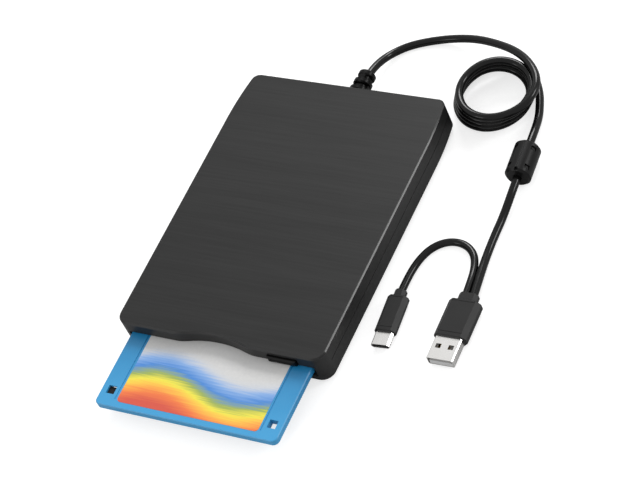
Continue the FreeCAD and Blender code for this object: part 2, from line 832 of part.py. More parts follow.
def board_posts():
    return [(-41.0, home_edge + 7), (-23.0, home_edge + 7), (-32.0, rear - 5.5), (5.0, rear - 5.5)]


def board_outline():
    y0 = home_edge + 4
    y1 = home_edge + 28
    y2 = carriage_rear + 6.5
    y3 = rear - 3.0
    board = prism([(-45, y0), (-19, y0), (-19, y2), (9, y2), (9, y3), (-34.5, y3), (-34.5, y1), (-45, y1)],
                  board_under(), board_under() + controller_board)
    for x, y in board_posts():
        board = board.cut(post(x, y, board_under() - 1, board_under() + 3, 0.95))
    return board


def board_screws():
    screws = []
    top = board_under() + controller_board
    for x, y in board_posts():
        head = post(x, y, top, top + 0.7, 1.7)
        shank = post(x, y, pan_bottom + 0.4, top + 0.1, 0.85)
        slot = box(x - 1, x + 1, y - 0.2, y + 0.2, top + 0.35, top + 1)
        screws.append(cut(fuse(head, shank), slot))
    return Part.makeCompound(screws)


def board_chips():
    top = board_under() + controller_board
    rows = [(home_edge + 14, front_chips), (rear - 9.0, rear_chips)]
    chips = []
    for y, row in rows:
        for x, across, along, height in row:
            chip = box(x - across / 2, x + across / 2, y - along / 2, y + along / 2, top, top + height)
            chips.append(chip.makeChamfer(0.2, edges_at(chip, top + height)))
    return Part.makeCompound(chips)


def cable_socket():
    top = board_under() + controller_board
    block = box(boot_x - 4.6, boot_x + 2.0, rear - 10.4, rear - 7.2, top, top + 4.2)
    return block


def cable_wires():
    wires = []
    for index in range(4):
        x = boot_x - 2.4 + 0.9 * index
        wires.append(rod_y(x, boot_z - 0.4, rear - 7.2, rear - wall - 1.3, 0.35))
    return Part.makeCompound(wires)


def sensor_switches():
    """Small plunger switches under the diskette's corner holes."""
    switches = []
    y = home_edge - disk_length + write_hole_edge + write_hole / 2
    for x in (-write_hole_x, write_hole_x - 0.5):
        body = box(x - 2.2, x + 2.2, y + 3.6, y + 9.6, pan_top, disk_bottom - slide_gap - holder_sheet - 0.5)
        plunger = post(x, y + 6.6, pan_top + 1, disk_bottom - slide_gap - holder_sheet - 0.2, 0.8)
        switches.append(fuse(body, plunger))
    return Part.makeCompound(switches)


# Diskette

def disk_block(z0, z1):
    block = box(-disk_half, disk_half, disk_tail, disk_edge, z0, z1)
    return block.makeFillet(disk_corner, upright_edges(block))


def head_window(z0, z1):
    half = head_window_width / 2
    return rounded_box(-half, half, disk_edge - 2.6 - head_window_length, disk_edge - 2.6, z0, z1, 2.0)


def shutter_track(z0, z1):
    left = shutter_left() - (shutter_travel - shutter_lead()) - 0.4
    right = shutter_left() + shutter_width + shutter_lead() + 0.4
    return box(left, right, disk_edge - shutter_depth - 0.4, disk_edge + 1, z0, z1)


def shutter_lead():
    """How far the shutter still has to move when the diskette goes home."""
    return shutter_travel * disk_out / (disk_out + out_travel())


def out_travel():
    """How far the diskette comes out until its edge is just behind the case's front."""
    return disk_edge - front - 0.4


def shutter_left():
    """The shutter's left edge as the diskette stands in the photograph."""
    return -7.0 - shutter_lead()


def disk_hole(x, z0, z1):
    half = write_hole / 2
    y = disk_tail + write_hole_edge + half
    return box(x - half, x + half, y - half, y + half, z0, z1)


def disk_upper_shell():
    shell = disk_block(disk_middle, disk_top)
    shell = shell.makeChamfer(disk_bevel, edges_at(shell, disk_top))
    room = post(0, disk_hub_y, disk_middle - 1, disk_top - disk_skin, media_radius + 0.5)
    shell = cut(shell, room, head_window(disk_middle - 1, disk_top + 1), disk_hole(write_hole_x, 0, 20))
    shell = cut(shell, disk_hole(-write_hole_x, 0, 20), tab_pocket())
    shell = shell.cut(shutter_track(disk_top - shutter_sheet - 0.1, disk_top + 1))
    shell = shell.cut(shutter_nose())
    for x in (-label_width / 2 - 1.1, label_width / 2 + 1.1):
        shell = shell.cut(box(x - 0.35, x + 0.35, disk_tail + 4, disk_edge - shutter_depth - 2,
                              disk_top - 0.25, disk_top + 1))
    return shell


def shutter_nose():
    """Room for the shutter's folded edge across the front of the diskette."""
    left = shutter_left() - (shutter_travel - shutter_lead()) - 0.4
    right = shutter_left() + shutter_width + shutter_lead() + 0.4
    return box(left, right, disk_edge - shutter_sheet - 0.1, disk_edge + 1, 0, 20)


def tab_pocket():
    """Pocket of the write-protect tab in the lower shell, twice the tab's length."""
    half = write_hole / 2
    y = disk_tail + write_hole_edge
    return box(-write_hole_x - half, -write_hole_x + half, y, y + 2 * write_hole + 0.3, 0, disk_top - disk_skin)


def disk_lower_shell():
    shell = disk_block(disk_bottom, disk_middle)
    shell = shell.makeChamfer(disk_bevel, edges_at(shell, disk_bottom))
    room = post(0, disk_hub_y, disk_bottom + disk_skin, disk_middle + 1, media_radius + 0.5)
    shell = cut(shell, room, head_window(disk_bottom - 1, disk_middle + 1), disk_hole(write_hole_x, 0, 20))
    shell = shell.cut(post(0, disk_hub_y, disk_bottom - 1, disk_middle + 1, hub_radius + 1.0))
    shell = cut(shell, tab_pocket(), shutter_nose())
    shell = shell.cut(shutter_track(disk_bottom - 1, disk_bottom + shutter_sheet + 0.1))
    # Locating holes, one round and one long.
    shell = shell.cut(post(-31, disk_edge - 20, disk_bottom - 1, disk_bottom + 0.6, 1.8))
    shell = shell.cut(rounded_box(29.2, 32.8, disk_edge - 22.4, disk_edge - 17.6, disk_bottom - 1,
                                  disk_bottom + 0.6, 1.7))
    return shell


def disk_shutter():
    left = shutter_left()
    right = left + shutter_width
    near = disk_edge - shutter_depth
    far = disk_edge
    upper = box(left, right, near, far, disk_top - shutter_sheet, disk_top)
    lower = box(left, right, near, far, disk_bottom, disk_bottom + shutter_sheet)
    fold = box(left, right, far - shutter_sheet, far, disk_bottom, disk_top)
    shutter = fuse(upper, lower, fold)
    centre = left + 7.0
    half = head_window_width / 2
    window = rounded_box(centre - half, centre + half, far - 2.6 - head_window_length, far - 2.6, 0, 20, 2.0)
    for edge_sign in (-1, 1):
        ridge_z = disk_top if edge_sign > 0 else disk_bottom
        groove = box(right - 5.2, right - 4.6, near + 3, far - 4, ridge_z - 0.06, ridge_z + 0.06)
        shutter = shutter.cut(groove)
    return shutter.cut(window)


def shutter_spring():
    low = disk_middle - 0.35
    coil = post(38.5, disk_edge - 5.0, low, low + 0.7, 1.9)
    return coil.cut(post(38.5, disk_edge - 5.0, low - 1, low + 2, 1.45))


def spring_room():
    return post(38.5, disk_edge - 5.0, disk_middle - 0.6, disk_middle + 0.4, 2.2)


def disk_hub():
    low = disk_bottom + 0.25
    plate = post(0, disk_hub_y, low, low + 0.4, hub_radius)
    collar = post(0, disk_hub_y, low, disk_middle - media_thickness / 2, hub_radius - 0.6)
    flange = post(0, disk_hub_y, disk_middle - media_thickness / 2 - 0.3, disk_middle - media_thickness / 2,
                  hub_radius + 0.7)
    hub = fuse(plate, collar, flange)
    hub = hub.cut(post(0, disk_hub_y, low + 0.4, disk_middle + 1, hub_radius - 1.4))
    hub = hub.cut(box(-2, 2, disk_hub_y - 2, disk_hub_y + 2, low - 1, low + 1))
    slot = rounded_box(drive_pin_offset - 2.0, drive_pin_offset + 1.2, disk_hub_y - 4, disk_hub_y + 4,
                       low - 1, low + 1, 1.4)
    return hub.cut(slot)


def disk_media():
    sheet = post(0, disk_hub_y, disk_middle - media_thickness / 2, disk_middle + media_thickness / 2, media_radius)
    return sheet.cut(post(0, disk_hub_y, disk_bottom, disk_top, hub_radius - 1.4))


def disk_liners():
    """Soft rings glued inside both shells, cut away at the head window."""
    rings = []
    upper = (disk_top - disk_skin - 0.25, disk_top - disk_skin)
    lower = (disk_bottom + disk_skin, disk_bottom + disk_skin + 0.25)
    for z0, z1 in (upper, lower):
        ring = post(0, disk_hub_y, z0, z1, media_radius)
        ring = ring.cut(post(0, disk_hub_y, z0 - 1, z1 + 1, hub_radius + 2.5))
        half = head_window_width / 2 + 0.6
        rings.append(ring.cut(box(-half, half, disk_hub_y, disk_edge, z0 - 1, z1 + 1)))
    return Part.makeCompound(rings)


def write_protect_tab():
    half = write_hole / 2 - 0.1
    y = disk_tail + write_hole_edge + 0.1
    tab = box(-write_hole_x - half, -write_hole_x + half, y, y + 2 * half, disk_bottom + 0.1,
              disk_top - disk_skin - 0.15)
    grip = box(-write_hole_x - 1, -write_hole_x + 1, y + half - 0.3, y + half + 0.3, disk_bottom, disk_bottom + 0.4)
    return tab.cut(grip)


def disk_label():
    half = label_width / 2
    y0 = disk_tail + label_margin
    return rounded_box(-half, half, y0, y0 + label_length, disk_top, disk_top + label_thickness, 1.8)


# Cord

lead_route = [
    (1.2, 70.0, 8.8), (1.2, 82.0, 8.8), (1.0, 93.6, 5.9), (3.0, 102.6, 2.6), (9.2, 109.2, 1.9),
    (18.6, 113.6, 1.9), (30.6, 115.9, 3.2), (42.9, 115.3, 5.6), (55.7, 111.8, 8.4), (67.5, 107.0, 10.9),
    (77.7, 99.8, 12.6)]

tail_route = [
    (81.8, 92.9, 1.9), (84.6, 86.1, 1.9), (87.2, 78.4, 2.2), (90.38, 65.0, 6.0),
    (92.5, 38.0, 6.0), (92.0, 25.0, 2.4), (91.9, 13.5, 1.9), (92.6, 2.5, 1.9), (94.3, -8.2, 2.8),
    (96.1, -19.7, 3.45)]

pigtail_route = [
    (92.4, -19.7, 3.45), (91.5, -11.6, 2.9), (89.8, -3.2, 1.9), (86.6, 3.9, 1.75), (80.4, 8.0, 1.75),
    (73.0, 8.0, 1.75), (66.9, 3.8, 1.75), (63.6, -3.2, 1.75), (62.4, -12.8, 2.0), (63.05, -22.4, 2.65)]


def cord_tube(name, route, radius):
    """Straight runs joined by tangent arcs, each as large as its two runs allow."""
    points = [V(*place) for place in route]
    edges = []
    start = points[0]
    for before, corner, after in zip(points, points[1:], points[2:]):
        back = before - corner
        onward = after - corner
        half_turn = (math.pi - back.getAngle(onward)) / 2
        reach = 0.45 * min(back.Length, onward.Length)
        bend = reach / math.tan(half_turn)
        back.normalize()
        onward.normalize()
        arc_start = corner + back * reach
        arc_end = corner + onward * reach
        inward = (back + onward).normalize()
        arc_middle = corner + inward * (bend / math.cos(half_turn) - bend)
        edges.append(Part.LineSegment(start, arc_start).toShape())
        edges.append(Part.Arc(arc_start, arc_middle, arc_end).toShape())
        print(name, "bend radius %.1f mm, %.1f diameters" % (bend, bend / (2 * radius)))
        start = arc_end
    edges.append(Part.LineSegment(start, points[-1]).toShape())
    path = Part.Wire(edges)
    along = (points[1] - points[0]).normalize()
    across = along.cross(V(0, 0, 1)).normalize()
    up = across.cross(along)
    corners = []
    for index in range(cord_sides):
        angle = 2 * math.pi * (index + 0.5) / cord_sides
        corners.append(points[0] + across * (radius * math.cos(angle)) + up * (radius * math.sin(angle)))
    tube = path.makePipeShell([Part.makePolygon(corners + corners[:1])], True, False)
    expected = cord_sides / 2 * math.sin(2 * math.pi / cord_sides) * radius ** 2 * path.Length
    print(name, "length %.1f mm, volume %.1f against %.1f" % (path.Length, tube.Volume, expected))
    return tube


def circle_at(centre, z, radius):
    return Part.Wire(Part.makeCircle(radius, V(centre[0], centre[1], z)))


def cable_coil():
    """The outer shape of the coil's turns, which lie one on another and lean a little."""
    low = floor_gap
    high = floor_gap + 2 * cable_radius * coil_levels
    outer = Part.makeLoft([circle_at(coil_low_centre, low, coil_low_radius + cable_radius),
                           circle_at(coil_high_centre, high, coil_high_radius + cable_radius)], True, True)
    inner = Part.makeLoft([circle_at(coil_low_centre, low, coil_low_radius - cable_radius),
                           circle_at(coil_high_centre, high, coil_high_radius - cable_radius)], True, True)
    return outer.cut(inner)


def strain_relief():
    """Moulded boot: three stout rings on a thinner core, held together by webs that alternate."""
    pitch = boot_length / boot_rings
    boot = rod_y(boot_x, boot_z, rear - wall - 1.2, rear + boot_length - 0.6, boot_core_radius)
    boot = fuse(boot, rod_y(boot_x, boot_z, rear - wall - 1.2, rear - wall, boot_radius + 1.0),
                rod_y(boot_x, boot_z, rear - wall - 0.1, rear + pitch - boot_ring, boot_radius))
    for index in range(boot_rings):
        far = rear + pitch * (index + 1)
        near = far - boot_ring
        radius = boot_radius - (boot_radius - boot_tip_radius) * index / (boot_rings - 1)
        ring = rod_y(boot_x, boot_z, near, far, radius)
        boot = fuse(boot, ring.makeChamfer(0.6, edges_across_y(ring)))
        if index > 0:
            reach = radius - 0.5
            upright = index % 2 == 0
            half_x = 1.3 if upright else reach
            half_z = reach if upright else 1.3
            boot = fuse(boot, box(boot_x - half_x, boot_x + half_x, near - pitch + boot_ring - 0.1, near + 0.1,
                                  boot_z - half_z, boot_z + half_z))
    return boot.cut(rod_y(boot_x, boot_z, rear - wall - 2, rear + boot_length + 1, cable_radius))


def ferrite_place(shape):
    shape.rotate(V(0, 0, 0), V(0, 1, 0), ferrite_roll)
    shape.rotate(V(0, 0, 0), V(0, 0, 1), ferrite_turn)
    shape.translate(V(ferrite_x, ferrite_y, ferrite_radius + floor_gap))
    return shape


def ferrite_case(side):
    """One half of the clip-on case. The halves meet along its top, and each has two windows for the clips."""
    half = ferrite_length / 2
    case = rod_y(0, 0, -half, half, ferrite_radius)
    case = case.makeChamfer(1.0, edges_across_y(case))
    room = rod_y(0, 0, -half + ferrite_end_wall, half - ferrite_end_wall, ferrite_radius - ferrite_wall)
    case = cut(case, room, rod_y(0, 0, -half - 1, half + 1, cable_radius + 0.15))
    reach = ferrite_radius + 1
    near_x = 0.06 if side > 0 else -reach
    case = case.common(box(near_x, near_x + reach - 0.06, -half - 1, half + 1, -reach, reach))
    for y in (-clip_spread, clip_spread):
        window = box(-1.3, 1.3, y - 1.0, y + 1.0, ferrite_radius - 0.9, ferrite_radius + 1)
        window = window.cut(box(-0.6, 0.7, y - 0.5, y + 0.6, ferrite_radius - 1, ferrite_radius - 0.5))
        window.rotate(V(0, 0, 0), V(0, 1, 0), side * clip_angle)
        case = case.cut(window)
        notch_y = half if y > 0 else -half
        case = case.cut(box(-0.7, 0.7, notch_y - 1.6, notch_y + 1.6, ferrite_radius - 1.0, ferrite_radius + 1))
    return ferrite_place(case)


def ferrite_core():
    half = ferrite_length / 2 - ferrite_end_wall
    core = rod_y(0, 0, -half, half, ferrite_radius - ferrite_wall - 0.05)
    core = core.cut(rod_y(0, 0, -half - 1, half + 1, cable_radius + 0.15))
    return ferrite_place(core)


# Plugs

def place_plug(shape, at, turn):
    shape.rotate(V(0, 0, 0), V(0, 0, 1), turn)
    shape.translate(V(at[0], at[1], 0))
    return shape


def plug_body(width, length, thickness, bevel, neck):
    """Moulded grip with bevelled sides, a fine groove at each end and a neck where the cords come out."""
    low = floor_gap
    high = low + thickness
    middle = low + thickness / 2
    neck_width, neck_thickness, neck_length = neck
    body = box(-width / 2, width / 2, -length, 0, low, high)
    body = body.makeChamfer(bevel, edges_along_y(body))
    body = body.makeChamfer(plug_edge, edges_across_y(body))
    for y in (-length + 1.8, -1.3):
        body = body.cut(box(-width, width, y, y + grip_groove, high - 0.12, high + 1))
    stem = box(-neck_width / 2, neck_width / 2, -0.5, neck_length, middle - neck_thickness / 2,
               middle + neck_thickness / 2)
    stem = stem.makeChamfer(neck_thickness * 0.3, edges_along_y(stem))
    stem = stem.makeChamfer(plug_edge, [edge for edge in edges_across_y(stem) if edge.BoundBox.YMin > 1])
    return fuse(body, stem)


def plug_shell(width, height, sheet, y0, y1, middle, edge):
    """Folded metal sleeve, open at its mouth."""
    outer = box(-width / 2, width / 2, y0, y1, middle - height / 2, middle + height / 2)
    outer = outer.makeChamfer(edge, edges_along_y(outer))
    inner = box(-width / 2 + sheet, width / 2 - sheet, y0 - 1, y1 + 1, middle - height / 2 + sheet,
                middle + height / 2 - sheet)
    inner = inner.makeChamfer(max(edge - sheet * 0.6, 0.1), edges_along_y(inner))
    return outer.cut(inner)


def plug_a_middle():
    return floor_gap + plug_a_thickness / 2


def plug_a_overmould():
    body = plug_body(plug_a_width, plug_a_length, plug_a_thickness, plug_a_bevel, plug_a_neck)
    return place_plug(body, plug_a_at, plug_a_turn)


def plug_a_shell():
    middle = plug_a_middle()
    y0 = -plug_a_length - shell_a_length
    shell = plug_shell(shell_a_width, shell_a_height, shell_a_sheet, y0, -plug_a_length, middle, 0.4)
    across, along = shell_a_window
    for x in (-shell_a_window_x, shell_a_window_x):
        y = -plug_a_length - shell_a_window_out
        shell = shell.cut(box(x - across / 2, x + across / 2, y - along / 2, y + along / 2, 0, 20))
    return place_plug(shell, plug_a_at, plug_a_turn)


def plug_a_tongue():
    middle = plug_a_middle()
    low = middle - shell_a_height / 2 + shell_a_sheet
    half = shell_a_width / 2 - shell_a_sheet - 0.35
    block = box(-half, half, -plug_a_length - shell_a_length + 0.3, -plug_a_length, low, low + 1.9)
    return place_plug(block, plug_a_at, plug_a_turn)


def plug_a_contacts():
    middle = plug_a_middle()
    top = middle - shell_a_height / 2 + shell_a_sheet + 1.9
    strips = []
    for x, length in ((-3.5, 7.4), (-1.0, 6.4), (1.0, 6.4), (3.5, 7.4)):
        y0 = -plug_a_length - shell_a_length + 1.6
        strip = box(x - 0.5, x + 0.5, y0, y0 + length, top, top + 0.12)
        strips.append(place_plug(strip, plug_a_at, plug_a_turn))
    return Part.makeCompound(strips)


def plug_c_middle():
    return floor_gap + plug_c_thickness / 2


def plug_c_overmould():
    body = plug_body(plug_c_width, plug_c_length, plug_c_thickness, plug_c_bevel, plug_c_neck)
    return place_plug(body, plug_c_at, plug_c_turn)


def plug_c_shell():
    middle = plug_c_middle()
    y0 = -plug_c_length - shell_c_length
    shell = plug_shell(shell_c_width, shell_c_height, shell_c_sheet, y0, -plug_c_length, middle, 0.8)
    return place_plug(shell, plug_c_at, plug_c_turn)


def plug_c_tongue():
    """Insulator that lines the connector, with the slot for the socket's blade."""
    middle = plug_c_middle()
    y0 = -plug_c_length - shell_c_length
    half_width = shell_c_width / 2 - shell_c_sheet
    half_height = shell_c_height / 2 - shell_c_sheet
    block = box(-half_width + 1.1, half_width - 1.1, y0 + 0.4, -plug_c_length, middle - half_height,
                middle + half_height)
    block = block.cut(box(-2.6, 2.6, y0 - 1, -plug_c_length - 1.2, middle - 0.4, middle + 0.4))
    return place_plug(block, plug_c_at, plug_c_turn)


os.makedirs("parts", exist_ok=True)

save("top_cover", top_cover())
save("bottom_cover", bottom_cover())
save("rubber_feet", rubber_feet())
save("case_screws", case_screws())
save("drive_frame", drive_frame())
save("frame_screws", frame_screws())
save("disk_holder", disk_holder())
save("eject_plate", eject_plate())
save("plate_studs", plate_studs())
save("eject_button", eject_button())
save("eject_spring", eject_spring())
save("motor_board", motor_board_outline())
save("spindle_bearing", spindle_bearing())
save("stator", stator())
save("spindle_rotor", spindle_rotor())
save("drive_pin", drive_pin())
save("guide_rod", guide_rod())
save("lead_screw", lead_screw())
save("stepper_motor", stepper_motor())
save("head_carriage", head_carriage())
save("lower_head", lower_head())
save("hinge_pin", hinge_pin())
save("upper_head_arm", upper_head_arm())
save("upper_head", upper_head())
save("controller_board", board_outline())
save("board_screws", board_screws())
save("board_chips", board_chips())
save("cable_socket", cable_socket())
save("cable_wires", cable_wires())
save("sensor_switches", sensor_switches())
save("disk_upper_shell", disk_upper_shell().cut(spring_room()))
save("disk_lower_shell", disk_lower_shell().cut(spring_room()))
save("disk_shutter", disk_shutter())
save("shutter_spring", shutter_spring())
save("disk_hub", disk_hub())
save("disk_media", disk_media())
save("disk_liners", disk_liners())
save("write_protect_tab", write_protect_tab())
save("disk_label", disk_label())
save("strain_relief", strain_relief())
save("cable_lead", cord_tube("cable_lead", lead_route, cable_radius))
save("cable_coil", cable_coil())
save("cable_tail", cord_tube("cable_tail", tail_route, cable_radius))
save("pigtail", cord_tube("pigtail", pigtail_route, pigtail_radius))
save("ferrite_left_case", ferrite_case(-1))
save("ferrite_right_case", ferrite_case(1))
save("ferrite_core", ferrite_core())
save("plug_a_overmould", plug_a_overmould())
save("plug_a_shell", plug_a_shell())
save("plug_a_tongue", plug_a_tongue())
save("plug_a_contacts", plug_a_contacts())
save("plug_c_overmould", plug_c_overmould())
save("plug_c_shell", plug_c_shell())
save("plug_c_tongue", plug_c_tongue())
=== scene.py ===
import json
import math

import bmesh
import bpy
from mathutils import Matrix, Vector

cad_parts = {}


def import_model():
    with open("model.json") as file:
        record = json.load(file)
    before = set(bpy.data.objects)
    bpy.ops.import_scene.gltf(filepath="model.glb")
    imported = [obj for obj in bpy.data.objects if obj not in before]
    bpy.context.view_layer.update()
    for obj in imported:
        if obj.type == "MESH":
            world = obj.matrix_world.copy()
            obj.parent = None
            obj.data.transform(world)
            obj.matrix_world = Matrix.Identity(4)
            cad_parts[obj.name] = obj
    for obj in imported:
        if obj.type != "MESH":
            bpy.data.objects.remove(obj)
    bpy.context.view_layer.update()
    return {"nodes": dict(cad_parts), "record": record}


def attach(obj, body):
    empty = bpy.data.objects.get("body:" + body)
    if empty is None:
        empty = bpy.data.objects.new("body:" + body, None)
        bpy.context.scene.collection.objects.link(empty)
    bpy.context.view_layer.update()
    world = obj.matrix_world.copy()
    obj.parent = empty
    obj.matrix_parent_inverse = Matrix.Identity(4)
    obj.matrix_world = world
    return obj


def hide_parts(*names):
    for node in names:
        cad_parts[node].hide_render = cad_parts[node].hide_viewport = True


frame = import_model()

MM = 0.001
scene = bpy.context.scene

# The middle of the case in the frame, from which the cords' places are measured
CASE_MIDDLE = Vector((0.0, 11.7, 0.0)) * MM

# How far before the frame's origin the label's outer end lies, in metres
LABEL_OUTER_END = 0.0937

# Cords: the routes are in millimetres, as in the part
CABLE_RADIUS = 1.85 * MM
PIGTAIL_RADIUS = 1.7 * MM
LEAD_ROUTE = [
    (1.2, 70.0, 8.8), (1.2, 82.0, 8.8), (1.0, 93.6, 5.9), (3.0, 102.6, 2.6), (9.2, 109.2, 1.9),
    (18.6, 113.6, 1.9), (30.6, 115.9, 3.2), (42.9, 115.3, 5.6), (55.7, 111.8, 8.4), (67.5, 107.0, 10.9),
    (77.7, 99.8, 12.6)]
TAIL_ROUTE = [
    (81.8, 92.9, 1.9), (84.6, 86.1, 1.9), (87.2, 78.4, 2.2), (90.38, 65.0, 6.0),
    (92.5, 38.0, 6.0), (92.0, 25.0, 2.4), (91.9, 13.5, 1.9), (92.6, 2.5, 1.9), (94.3, -8.2, 2.8),
    (96.1, -19.7, 3.45)]
PIGTAIL_ROUTE = [
    (92.4, -19.7, 3.45), (91.5, -11.6, 2.9), (89.8, -3.2, 1.9), (86.6, 3.9, 1.75), (80.4, 8.0, 1.75),
    (73.0, 8.0, 1.75), (66.9, 3.8, 1.75), (63.6, -3.2, 1.75), (62.4, -12.8, 2.0), (63.05, -22.4, 2.65)]

# The coil's turns, clockwise from above, in degrees and millimetres. Each turn falls to the next one's
# level at the back. At the right the middle turns are drawn in, because the lead comes in over them and
# the last turn goes out beside the one before it.
COIL_STEPS = 14
COIL_START = 22.0
COIL_END = 44.6 - 4 * 360.0
COIL_CENTRES = (Vector((67.87, 84.5, 13.1)), Vector((63.17, 87.75, 1.9)))
COIL_RADII = (17.5, 18.3)
COIL_FALLS = 3
COIL_FALL = -215.0
COIL_FALL_SPAN = 100.0
COIL_CROWDED = 47.0
COIL_CROWDED_SPAN = 156.0
COIL_DRAWN_IN = (0.0, 2.6, 2.6, 3.8, 0.0)


# Shader values

class Value:
    """A shader value that Python's operators act on by adding Math nodes."""

    def __init__(self, finish, socket):
        self.finish = finish
        self.socket = socket

    def math(self, operation, *others):
        return self.finish.node("ShaderNodeMath", {"operation": operation}, self, *others)

    def __add__(self, other):
        return self.math("ADD", other)

    __radd__ = __add__

    def __mul__(self, other):
        return self.math("MULTIPLY", other)

    def __sub__(self, other):
        return self.math("SUBTRACT", other)

    def __rsub__(self, other):
        return self.finish.node("ShaderNodeMath", {"operation": "SUBTRACT"}, other, self)

    def __truediv__(self, other):
        return self.math("DIVIDE", other)

    def between(self, low, high):
        """0 below low, 1 above high and a smooth step from one to the other."""
        settings = {"interpolation_type": "SMOOTHSTEP"}
        return self.finish.node("ShaderNodeMapRange", settings, self, low, high)


class Finish:
    """One material: its node tree and the ways to add to it."""

    def __init__(self, name, color, roughness, metallic=0.0):
        self.material = bpy.data.materials.new(name)
        self.material.use_nodes = True
        self.tree = self.material.node_tree
        self.surface = self.tree.nodes["Principled BSDF"]
        self.set(**{"Base Color": color, "Roughness": roughness, "Metallic": metallic})

    def node(self, kind, settings=None, *values, out=0, **named):
        made = self.tree.nodes.new(kind)
        for key, setting in (settings or {}).items():
            if key == "stops":
                ramp = made.color_ramp.elements
                for index, (place, color) in enumerate(setting):
                    stop = ramp[index] if index < 2 else ramp.new(place)
                    stop.position = place
                    stop.color = (*color, 1.0)
            else:
                setattr(made, key, setting)
        for key, value in [*enumerate(values), *named.items()]:
            self.feed(made.inputs[key], value)
        return Value(self, made.outputs[out])

    def feed(self, socket, value):
        if isinstance(value, Value):
            self.tree.links.new(value.socket, socket)
        elif isinstance(value, tuple) and len(value) == 3 and socket.type == "RGBA":
            socket.default_value = (*value, 1.0)
        else:
            socket.default_value = value

    def set(self, **inputs):
        for name, value in inputs.items():
            self.feed(self.surface.inputs[name.replace("_", " ")], value)
        return self

    def place(self):
        return self.node("ShaderNodeTexCoord", out="Object")

    def axis(self, name):
        return self.node("ShaderNodeSeparateXYZ", None, self.place(), out="XYZ".index(name))

    def stretched(self, x, y, z):
        """Object coordinates with each axis at its own scale."""
        return self.node("ShaderNodeVectorMath", {"operation": "MULTIPLY"}, self.place(), (x, y, z))

    def noise(self, where, scale, detail=3.0, roughness=0.55):
        inputs = {"Vector": where, "Scale": scale, "Detail": detail, "Roughness": roughness}
        return self.node("ShaderNodeTexNoise", **inputs)

    def grain(self, scale, detail=3.0):
        return self.noise(self.place(), scale, detail)

    def blend(self, factor, first, second):
        mixer = self.tree.nodes.new("ShaderNodeMix")
        mixer.data_type = "RGBA"
        self.feed(mixer.inputs[0], factor)
        self.feed(mixer.inputs[6], first)
        self.feed(mixer.inputs[7], second)
        return Value(self, mixer.outputs[2])

    def bump(self, height, distance, strength=1.0):
        bumped = self.node("ShaderNodeBump", None, Strength=strength, Distance=distance, Height=height)
        return self.set(Normal=bumped)


def shade(value):
    """A linear grey from an 8-bit one."""
    share = value / 255
    return share / 12.92 if share <= 0.04045 else ((share + 0.055) / 1.055) ** 2.4


def rgb(red, green, blue):
    return (shade(red), shade(green), shade(blue))


# Finishes

def case_plastic(name="case_plastic", tone=27):
    """Charcoal plastic with fine streaks across the case and a smoother top edge at its right."""
    finish = Finish(name, rgb(tone, tone, tone + 1), 0.42)
    finish.set(**{"Specular IOR Level": 0.3})
    streaks = finish.noise(finish.stretched(25, 900, 900), 1.0, 4.0)
    broad = finish.noise(finish.stretched(9, 160, 160), 1.0, 2.0)
    mixed = streaks * 0.6 + broad * 0.4
    darker = rgb(tone - 4, tone - 4, tone - 4)
    lighter = rgb(tone + 5, tone + 5, tone + 5)
    across = finish.axis("X")
    level = finish.axis("Z")
    finish.set(**{"Base Color": finish.blend(mixed.between(0.3, 0.7), darker, lighter)})
    band = level.between(0.01605, 0.01615) * (1 - level.between(0.01655, 0.0167))
    right_edge = band * across.between(0.049, 0.050)
    finish.set(Roughness=0.36 + mixed * 0.14 - right_edge * 0.24)
    finish.bump(streaks, 0.00001, 0.5)
    return finish.material


def black_plastic(name, tone, roughness, grain=0.000012, shine=0.25):
    finish = Finish(name, rgb(tone, tone, tone), roughness)
    finish.set(**{"Specular IOR Level": shine})
    speckle = finish.grain(2500, 2.0)
    cloud = finish.grain(90, 2.0)
    darker = rgb(tone - 3, tone - 3, tone - 3)
    lighter = rgb(tone + 3, tone + 3, tone + 3)
    finish.set(**{"Base Color": finish.blend(cloud, darker, lighter)})
    finish.set(Roughness=roughness - 0.05 + cloud * 0.1)
    finish.bump(speckle, grain, 0.6)
    return finish.material


def metal(name, color, roughness, streak=(30, 900, 900)):
    finish = Finish(name, color, roughness, 1.0)
    lines = finish.noise(finish.stretched(*streak), 1.0, 3.0)
    finish.set(Roughness=roughness * 0.8 + lines * roughness * 0.4)
    finish.bump(lines, 0.000004, 0.4)
    return finish.material


def plain(name, color, roughness, scale=300, spread=0.12, depth=0.00001):
    """A dyed or moulded material with a slight cloud in its colour and a fine grain."""
    finish = Finish(name, color, roughness)
    cloud = finish.grain(scale)
    darker = tuple(channel * (1 - spread) for channel in color)
    lighter = tuple(channel * (1 + spread) for channel in color)
    finish.set(**{"Base Color": finish.blend(cloud, darker, lighter)})
    finish.set(Roughness=roughness - 0.06 + cloud * 0.12)
    finish.bump(finish.grain(scale * 6, 2.0), depth, 0.5)
    return finish.material


def disk_plastic():
    """Blue moulded plastic, paler towards the end that stands out of the slot, with painted shade
    darkening it towards the slot.
    """
    finish = Finish("disk_plastic", rgb(45, 135, 205), 0.36)
    # Painted shade: the blue is darkened towards the slot, where the case shades the disk
    depth = finish.axis("Y").between(-0.097, -0.057)
    cloud = finish.grain(120, 2.0)
    slot_shaded_hue = finish.blend(depth, rgb(54, 146, 197), rgb(14, 114, 166))
    finish.set(**{"Base Color": finish.blend(cloud * 0.25, slot_shaded_hue, rgb(74, 158, 206))})
    finish.set(Roughness=0.30 + cloud * 0.12)
    finish.bump(finish.grain(1800, 2.0), 0.00001, 0.5)
    return finish.material


